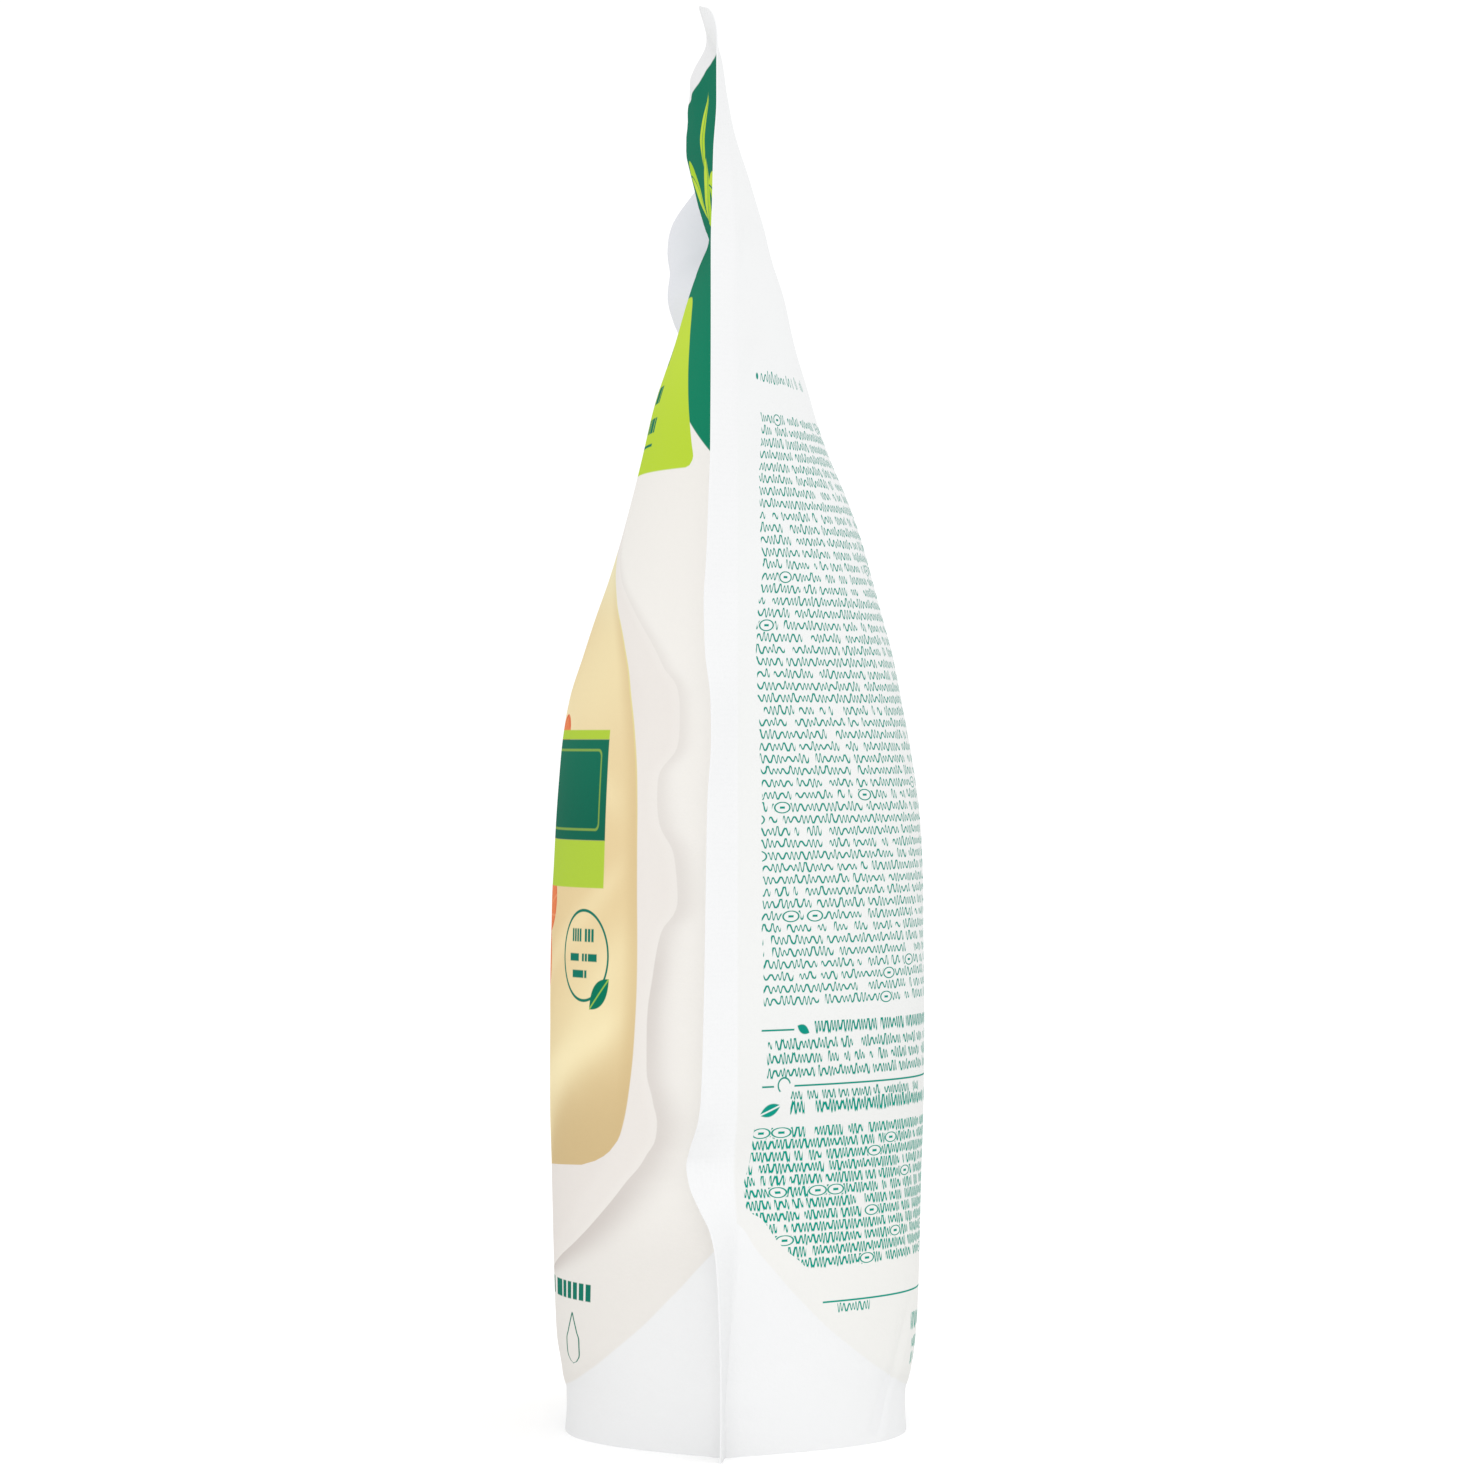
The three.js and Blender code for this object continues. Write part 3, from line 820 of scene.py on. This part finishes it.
def film_material(name, paint, weld_line=True):
    m = bpy.data.materials.new(name)
    n = Net(m)
    uv = n.node("ShaderNodeUVMap", uv_map="film")
    sep = n.node("ShaderNodeSeparateXYZ")
    n.feed(sep.inputs[0], uv.outputs[0])
    s = F(n, sep.outputs[0]) * 160 - 80
    z = F(n, sep.outputs[1]) * 240
    colour, rough, height = paint(n, s, z)
    shader = n.node("ShaderNodeBsdfPrincipled")
    n.feed(shader.inputs["Base Color"], colour)
    n.feed(shader.inputs["Roughness"], rough)
    shader.inputs["Specular IOR Level"].default_value = 0.0
    shader.inputs["IOR"].default_value = 1.46
    shader.inputs["Coat Weight"].default_value = 0.05
    shader.inputs["Coat Roughness"].default_value = 0.3
    shader.inputs["Coat IOR"].default_value = 1.5
    bump = n.node("ShaderNodeBump")
    bump.inputs["Strength"].default_value = 0.35
    bump.inputs["Distance"].default_value = 0.0003
    n.feed(bump.inputs["Height"], height)
    n.tree.links.new(bump.outputs[0], shader.inputs["Normal"])
    out = n.node("ShaderNodeOutputMaterial")
    n.tree.links.new(shader.outputs[0], out.inputs[0])
    print(name, n.count, "nodes")
    return m


COOL = tone(238.5, 239, 239.5)
FRONT_WARM = tone(241, 238, 233)
BACK_WARM = tone(240.5, 241.3, 240, BACK_LIGHT)
GREEN = tone(8, 118, 90)
PLATE = tone(24, 110, 86)
LIME = tone(197, 223, 68)
INK = tone(20, 118, 98)
TEXT = tone(16, 147, 129, BACK_LIGHT)
TEXT_LOW = tone(6, 154, 134, BACK_LIGHT)


def surface_detail(n, s, z, ink):
    """Roughness and height shared by the printed faces: film grain, weld texture, smoother ink."""
    p = n.vector(s, z, 0.0)
    grain = n.noise(p, 1.6, 3.0, 0.6)
    broad = n.noise(p, 0.09, 2.0, 0.5)
    weld = n.ramp(s.abs(), 61.2, 62.4) | n.ramp(z, 228.2, 229.2)
    rough = 0.5 + (grain - 0.5) * 0.12 + (broad - 0.5) * 0.12 - weld * 0.06 - ink * 0.03
    fine = ((s * 3.6 + z * 3.6).sin() * (s * 3.6 - z * 3.6).sin()) * 0.1
    height = grain * 0.25 + broad * 0.5 + weld * fine
    return rough, height


def weld_zone(n, s, z):
    """1 on the unprinted welds: both sides and the skirt under the U weld."""
    side = n.ramp(s.abs(), 61.6, 62.4)
    low = n.line(s.abs(), [(0, 7.4), (12, 8.3), (23, 10.6), (37, 17), (49.5, 26.2), (54, 30.3), (58, 34), (62, 38.5), (70, 42)])
    return side | n.ramp(low - z, -0.25, 0.25)


def paint_front(n, s, z):
    p = n.vector(s, z, 0.0)
    m = s.abs()
    broad = n.noise(p, 0.035, 2.0, 0.5)
    warm = n.ramp(z, 190, 168)
    base = n.mix(warm, tone(238, 238, 239), FRONT_WARM)
    base = n.mix(n.ramp(z, 44, 30), base, tone(234.5, 231, 226))
    # a soft pale wave down each side of the panel, its own layout
    edge = n.line(z, [(0, -12), (24, -8), (26.5, -2), (28, 6), (30.5, 15), (34, 24), (39, 32), (44, 38), (49, 43), (53, 44.8), (58, 43.4), (64, 41.6), (71, 41.8), (78, 43.6), (86, 46.4), (92, 50.2), (98, 49.4), (105, 44.6), (111, 43.8), (117, 47.9), (123, 48.2), (130, 43.4), (138, 34), (146, 19), (152, 8), (156, 2), (158, -3), (165, -8), (237, -12)])
    wob = (z * 0.11 + s * 0.02).sin() * 0.8
    d = edge - m + wob * s.gt(0.0)
    wave = n.ramp(d, -0.25, 0.35)
    deep = n.line(z, [(0, 1.0), (34, 1.0), (46, 0.8), (60, 0.7), (74, 0.8), (88, 0.56), (105, 0.5), (122, 0.4), (135, 0.36), (152, 0.22), (165, 0.0), (237, 0.0)])
    spread = n.line(z, [(0, 0.5), (40, 0.55), (52, 0.85), (70, 1.0), (100, 1.15), (125, 1.7), (237, 1.7)])
    shade = n.ramp(d * spread, -10.0, 0.0) * ~wave
    base = n.mix(shade.sq() * deep, base, tone(211, 204, 199))
    base = n.mix(wave, base, tone(235, 230, 225))
    base = n.mix(n.ramp(d, 3.0, 0.3) * wave * 0.5, base, tone(239, 235, 230))
    base = n.mix(n.ramp(d, 6.0, 13.0) * wave * 0.6, base, tone(231, 225, 220))
    # golden panel
    wide = n.line(z, [(0, -9), (45.0, -4), (45.35, 6), (45.8, 18), (46.4, 25), (47.6, 30), (49.8, 34.2), (53, 36.6), (61.5, 38.6), (70, 39.5), (83, 40), (99.5, 39.6), (108, 39.3), (116, 38.5), (125, 36), (133, 31.2), (141, 22.2), (146, 13.8), (148.6, 8.4), (149.9, 4.2), (150.4, 0), (151, -5), (237, -9)])
    gd = wide - m
    inside = n.inside(gd, 0.15)
    gold = n.mix(n.ramp(z, 140, 75), tone(235, 215, 170), tone(229, 204, 156))
    gold = n.mix(n.ramp(z, 80, 46), gold, tone(211, 186, 139))
    sheen = ((z * 0.11 - s * 0.06 + broad * 2.5).sin()) * 0.5 + 0.5
    gold = n.mix(sheen.sq() * 0.5, gold, tone(244, 229, 184))
    for base_z, rise, w_, amount in ((57, 0.34, 4.2, 0.75), (73, 0.55, 3.0, 0.35), (44, 0.9, 5.5, 0.4), (128, -0.5, 3.5, 0.35)):
        q = (z - (s + 6.0) * rise - base_z + (s * 0.09).sin() * 1.5) * (1 / w_)
        streak = n.math("POWER", 2.718, -q.sq()) * n.ramp(gd, 0.0, 9.0)
        gold = n.mix(streak * amount, gold, tone(250, 236, 192))
    gold = n.mix(n.ramp(gd, 4.5, 0.2) * 0.5, gold, tone(212, 186, 138))
    gold = n.mix(n.ramp(z, 134, 150) * 0.8, gold, tone(240, 234, 196))
    gold = n.mix(n.ramp(gd.abs(), 0.55, 0.2) * n.ramp(z, 90, 130) * 0.6, gold, tone(232, 226, 150))
    base = n.mix(inside, base, gold)
    # simple blossoms in warm tones, behind the plate
    for cx, cz, r, turn in ((0, 113, 15, 0.3), (-3, 88, 14.5, 0.9)):
        dx, dz = s - cx, z - cz
        rr = (dx.sq() + dz.sq()).root()
        th = n.math("ARCTAN2", dz, dx)
        petal = ((th * 2.5 + turn).sin().abs()) * (0.42 * r) + 0.55 * r
        flower = n.inside(petal - rr, 0.2)
        core = n.ramp(rr, 0.34 * r, 0.12 * r)
        hue = n.mix(core, tone(231, 131, 84), tone(247, 205, 120))
        hue = n.mix(n.ramp((petal - rr).abs(), 1.6, 0.1) * 0.6, hue, tone(214, 84, 52))
        vein = n.ramp(((th * 12.5).sin()).abs(), 0.35, 0.05) * n.ramp(rr, 0.25 * r, 0.5 * r)
        hue = n.mix(vein * 0.4, hue, tone(244, 176, 130))
        base = n.mix(flower & inside, base, hue)
    # plate: a dark field between two lime bars, left bare
    plate = box(n, s, z, -30.6, 101, 30.6, 118, 0.0)
    bars = box(n, s, z, -30.6, 93, 30.6, 101, 0.0) | box(n, s, z, -30.6, 118, 30.6, 119.6, 0.0)
    base = n.mix(bars, base, tone(176, 205, 66))
    base = n.mix(plate, base, n.mix(n.ramp(z, 118, 101) * 0.5, PLATE, tone(12, 92, 72)))
    inset = box(n, s, z, -28.6, 102.6, 28.6, 116.4, 1.2) & ~box(n, s, z, -28.2, 103, 28.2, 116, 1.0)
    base = n.mix(inset * 0.4, base, LIME)
    # badge: a ring, short bars and a leaf
    bx, bz = 24.6, 81.6
    rr = ((s - bx).sq() + (z - bz).sq()).root()
    ring = n.ramp((rr - 7.6).abs(), 0.34, 0.16)
    base = n.mix(ring, base, INK)
    badge = blocks(n, s, z, ((20.4, 83.9, 24.0, 86.1), (24.9, 83.9, 28.2, 86.1), (19.6, 80.6, 23.2, 81.9), (24.0, 80.6, 29.2, 81.9), (20.6, 77.8, 26.0, 79.1)), 1.0, 0.7)
    base = n.mix(badge, base, INK)
    lf, la, lb = leaf(n, s, z, 29.6, 75.2, 42, 3.9, 1.9)
    base = n.mix(lf, base, GREEN)
    base = n.mix((n.ramp(lb.abs(), 0.22, 0.1) & lf), base, tone(150, 190, 80))
    # greeked caption under the panel, and a plain drop in outline
    words = []
    for x0, x1 in ((-28.5, -14.5), (-12.5, -5.5), (-3.5, 8.5), (10.5, 28.5)):
        words.append((x0, 23.4, x1, 26.3))
    base = n.mix(blocks(n, s, z, words, 2.7, 0.7), base, INK)
    for cx in (20.5, -20.5):
        dx, dz = (s - cx).abs(), z - 16.4
        body = n.line(z, [(12.6, 0), (13.2, 2), (14.6, 3), (16.2, 3), (18, 2), (20.2, 0.6), (21.2, 0)])
        dd = body - dx
        drop = n.ramp(dd.abs(), 0.36, 0.14) & n.ramp(z, 12.4, 12.7) & n.ramp(z, 21.3, 21.0)
        base = n.mix(drop, base, INK)
    # head: green field, lime tab with the corner cut, lime sprig
    diag = n.line(m, [(0, 176), (36, 176), (43, 170.5), (54, 164.5), (62, 160.2), (70, 157)], False)
    crown = n.line(m, [(0, 226.8), (10, 226.9), (20, 227.2), (27, 227.7), (34, 228.6), (41, 229.5), (70, 229.7)])
    green = n.inside(z - diag, 0.15) & n.inside(crown - z, 0.15)
    dx, dz = s + 59.5, z - 217
    back = dx * 0.631 - dz * 0.776
    across = dx * 0.776 + dz * 0.631
    reach = n.line(back, [(-30, 11), (0, 11.5), (20, 13.4), (33, 14), (40, 12.5), (44.5, 9.5), (48, 2), (49.5, -6), (80, -8)])
    spout = n.inside(reach - across.abs(), 0.15)
    # the spout's channel: bare film, with painted shade that darkens it to a cooler grey than the welds, for the lobes
    # turned away from the light
    base = n.mix(n.inside(reach + 2.0 - across.abs(), 1.5), base, tone(230.5, 232, 236.5))
    green = green & ~(spout | n.inside(-38.0 - s, 0.15))
    shade = n.mix(n.ramp(z, 175, 222), tone(14, 129, 96), tone(3, 116, 88))
    base = n.mix(green, base, shade)
    for cx, cz, turn, half, wide_, bend in (
        (20, 209, 20, 13, 3.6, 2.0), (42, 207, -24, 15, 4.4, -2.2), (32, 219, 38, 9, 2.2, 1.2),
        (56, 213.5, 58, 8.5, 2.4, 1.0), (-4, 214, 160, 14, 3.6, 2.4),
    ):
        lf, la, lb = leaf(n, s, z, cx, cz, turn, half, wide_, bend)
        hue = n.mix(n.ramp(lb, -2, 2), tone(176, 214, 48), LIME)
        base = n.mix(lf & green, base, hue)
        base = n.mix(lf & n.ramp(lb.abs(), 0.26, 0.1) & green, base, shade)
    top = n.line(m, [(0, 193.6), (12, 193.3), (21.5, 192.2), (28, 189.4), (33, 185.2), (38, 178.6), (42, 172.2), (45, 166.8), (46.1, 164.8), (46.5, 163), (46.8, 155), (70, 140)])
    tab = n.inside(top - z, 0.15) & n.inside(z - n.line(m, [(0, 163), (43.4, 163), (45, 163.3), (46, 164.2), (46.4, 166), (70, 190)], False), 0.15)
    base = n.mix(tab, base, n.mix(n.ramp(z, 165, 188), tone(188, 216, 60), LIME))
    words = ((-8.5, 182.0, 0.5, 185.2), (2.0, 182.0, 8.5, 185.2), (-15, 175.2, -5, 178.2), (-3.5, 175.2, 4.5, 178.2), (6.0, 175.2, 15.5, 178.2), (-19, 170.0, -9.5, 172.6), (-8, 170.0, 5.5, 172.6), (7.0, 170.0, 19, 172.6))
    base = n.mix(blocks(n, s, z, words, 2.2, 0.74), base, GREEN)
    under = box(n, s, z, -19, 167.6, 19, 168.1)
    base = n.mix(under, base, GREEN)
    # unprinted white: the side welds and the skirt under the U weld
    bare = weld_zone(n, s, z)
    base = n.mix(bare, base, COOL)
    ink = green | tab | inside
    rough, height = surface_detail(n, s, z, ink)
    return base, rough, height


def paint_back(n, s, z):
    p = n.vector(s, z, 0.0)
    base = n.mix(n.ramp(z, 190, 160), tone(246.5, 247.5, 248, BACK_LIGHT), tone(243, 244.2, 244.2, BACK_LIGHT))
    base = n.mix(n.ramp(z, 152, 104), base, BACK_WARM)
    base = n.mix(n.ramp(z, 78, 52), base, tone(239, 239, 237, BACK_LIGHT))
    base = n.mix(n.ramp(z, 44, 32), base, tone(242.5, 241.5, 238, BACK_LIGHT))
    base = n.mix(n.noise(p, 0.05, 2.0, 0.5) * 0.3, base, tone(239, 239, 237, BACK_LIGHT))
    margin = n.line(z, [(70, 1.2), (88, 1.5), (103, 1.5), (118, 1.7), (131, 2.3), (137, 2.0), (147, 0.2), (157, -0.2), (165, -1.5), (172, -2.9), (190, -3.4)])
    shifted = s - margin * n.ramp(s, 0, 50)
    ink = rows(n, shifted, z, 178.8, 2.6, 1, 54.0, 20, 1.45, 1.35, 41.0, gap=0.14, weight=0.18)
    ink = ink | disc(n, shifted, z, 55.6, 177.6, 0.55)
    ink = ink | rows(n, shifted, z, 171.7, 2.0, 49, 55.5, -55.5, 1.28, 1.14, 43.0, gap=0.13, weight=0.22, marks=0.04)
    # rule, leaf and a heading row
    ink = ink | (n.ramp((z - 70).abs(), 0.2, 0.1) & n.inside(57 - s, 0.1) & n.inside(s - 50, 0.1))
    lf, la, lb = leaf(n, s, z, 48, 70, 25, 1.5, 0.75)
    ink = ink | lf
    ink = ink | rows(n, s, z, 71.3, 2.2, 1, 45.5, -20, 1.0, 1.45, 47.0, gap=0.1, weight=0.24)
    ink = ink | rows(n, s, z, 68.6, 2.3, 3, 56, -56, 1.0, 1.25, 48.0, gap=0.13, weight=0.22)
    ink = ink | (n.ramp((z - 60.7).abs(), 0.2, 0.1) & n.inside(57 - s, 0.1) & n.inside(s + 57, 0.1) & ~disc(n, s, z, 52.3, 60.8, 2.2))
    ink = ink | (n.ramp((((s - 52.3).sq() + (z - 60.8).sq()).root() - 1.3).abs(), 0.22, 0.08) & n.ramp(z + s * 0.6, 91.6, 91.9))
    ink = ink | rows(n, s, z, 60.2, 2.2, 1, 51, 12, 0.86, 1.15, 49.0, gap=0.1, weight=0.22)
    ink = ink | rows(n, s, z, 58.4, 2.6, 1, 51, -20, 1.05, 1.4, 50.0, gap=0.08, weight=0.3)
    lf, la, lb = leaf(n, s, z, 55.4, 56.8, 160, 2.3, 1.0)
    ink = ink | (lf & ~n.ramp(lb.abs(), 0.2, 0.08))
    # the dense block whose left end steps in along the U weld
    dense = rows(n, s, z, 53.9, 1.98, 12, 62, -62, 1.0, 1.26, 53.0, gap=0.1, weight=0.26, marks=0.09)
    reach = n.line(z, [(0, 30), (29, 46), (35, 53.5), (39, 57), (41, 60), (44, 60.2), (48, 59), (54, 58.4), (60, 58.4)])
    ink = ink | (dense & n.inside(reach - s.abs(), 0.1))
    ink = ink | (n.ramp((z - 24.5).abs(), 0.2, 0.1) & n.inside(43.5 - s, 0.1) & n.inside(s + 43.5, 0.1))
    ink = ink | rows(n, s, z, 24.2, 1.9, 1, 40, 31.5, 1.0, 1.2, 59.0, gap=0.0, weight=0.2)
    ink = ink | rows(n, s, z, 20.6, 3.3, 1, 14.8, -30, 1.9, 2.3, 61.0, gap=0.04, weight=0.24)
    ink = ink | rows(n, s, z, 16.4, 2.6, 2, 12.6, -30, 1.3, 1.7, 62.0, gap=0.08, weight=0.22)
    bare = weld_zone(n, s, z)
    ink = ink & ~bare
    base = n.mix(ink, base, n.mix(n.ramp(z, 60, 54), TEXT, TEXT_LOW))
    base = n.mix(bare, base, COOL)
    rough, height = surface_detail(n, s, z, ink)
    return base, rough, height


def paint_base(n, s, z):
    p = n.vector(s, z, 0.0)
    base = n.mix(n.noise(p, 0.08, 2.0, 0.5) * 0.5, COOL, tone(234, 234, 236))
    rough, height = surface_detail(n, s, z, F(n, 0.0))
    return base, rough, height


for material in (
    film_material("film_front", paint_front),
    film_material("film_back", paint_back),
    film_material("film_base", paint_base),
):
    mesh.materials.append(material)
mesh.polygons.foreach_set("material_index", np.array(group, dtype=np.int32))

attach(pouch, "root")
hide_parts("refill_pouch")

# ------------------------------------------------------------------ floor, light and camera
bm = bmesh.new()
bmesh.ops.create_circle(bm, cap_ends=True, segments=96, radius=4.0)
floor_mesh = bpy.data.meshes.new("floor")
bm.to_mesh(floor_mesh)
bm.free()
floor = bpy.data.objects.new("floor", floor_mesh)
bpy.context.scene.collection.objects.link(floor)
m = bpy.data.materials.new("floor_paint")
n = Net(m)
shader = n.node("ShaderNodeBsdfPrincipled")
shader.inputs["Base Color"].default_value = (0.96, 0.96, 0.96, 1)
shader.inputs["Roughness"].default_value = 0.9
shader.inputs["Specular IOR Level"].default_value = 0.0
out = n.node("ShaderNodeOutputMaterial")
n.tree.links.new(shader.outputs[0], out.inputs[0])
floor_mesh.materials.append(m)

world = bpy.data.worlds.new("studio")
bpy.context.scene.world = world
world.use_nodes = True
bg = world.node_tree.nodes["Background"]
bg.inputs["Color"].default_value = (1, 1, 1, 1)
bg.inputs["Strength"].default_value = 1.08


def area(name, place, aim, size, watts):
    light = bpy.data.lights.new(name, "AREA")
    light.shape = "SQUARE"
    light.size = size
    light.energy = watts
    o = bpy.data.objects.new(name, light)
    bpy.context.scene.collection.objects.link(o)
    o.visible_camera = False
    o.location = place
    o.rotation_euler = (Vector(aim) - Vector(place)).to_track_quat("-Z", "Y").to_euler()
    return o


area("key", (0.7, 2.2, 1.6), (0, 0, 0.1), 1.6, 7.0)
area("fill", (3.0, -0.2, 0.9), (0, 0, 0.12), 1.6, 17.0)
area("top", (0.2, 0.1, 2.6), (0, 0, 0), 2.0, 6.0)

camera = bpy.data.cameras.new("camera")
camera.lens = 150.37
camera.sensor_width = 36
camera.sensor_fit = "HORIZONTAL"
camera.shift_y = 0.00204
camera.clip_start = 0.05
eye = bpy.data.objects.new("camera", camera)
bpy.context.scene.collection.objects.link(eye)
eye.location = (1.060, 0, 0.1179)
eye.rotation_euler = (math.radians(90), 0, math.radians(90))
bpy.context.scene.camera = eye
bpy.context.scene.view_settings.view_transform = "Standard"
